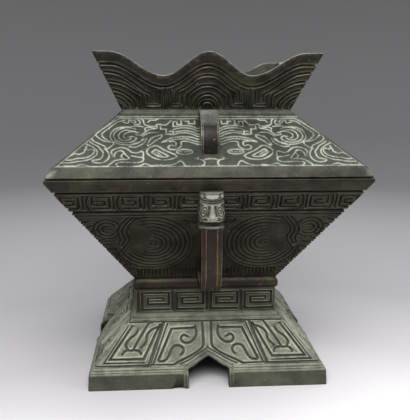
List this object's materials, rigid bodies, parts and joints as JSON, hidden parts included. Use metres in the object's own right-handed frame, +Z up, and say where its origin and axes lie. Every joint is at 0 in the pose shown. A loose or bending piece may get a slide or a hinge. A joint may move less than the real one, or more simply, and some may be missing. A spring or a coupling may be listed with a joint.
{
  "type": "square covered bronze vessel with loop ears",
  "caption": "Square bowl on a spreading notched foot, with loop ears and a lift-off pyramid lid that carries a wave-edged crown.",
  "frame": {"origin": "middle of the square foot's underside, on the ground", "axes": "+Z up through the lid; -Y towards the front face with the animal-mask ear; +X to its right"},
  "size_m": [0.216, 0.2268, 0.238],
  "materials": {
    "vessel_bronze": "dark brown cast bronze with grey-green patina in the hollows and on the foot",
    "lid_bronze": "dark cast bronze with pale green lines on the sloping faces"
  },
  "bodies": {
    "root": {"vessel": "vessel_bronze", "lid": "lid_bronze"}
  },
  "joints": []
}
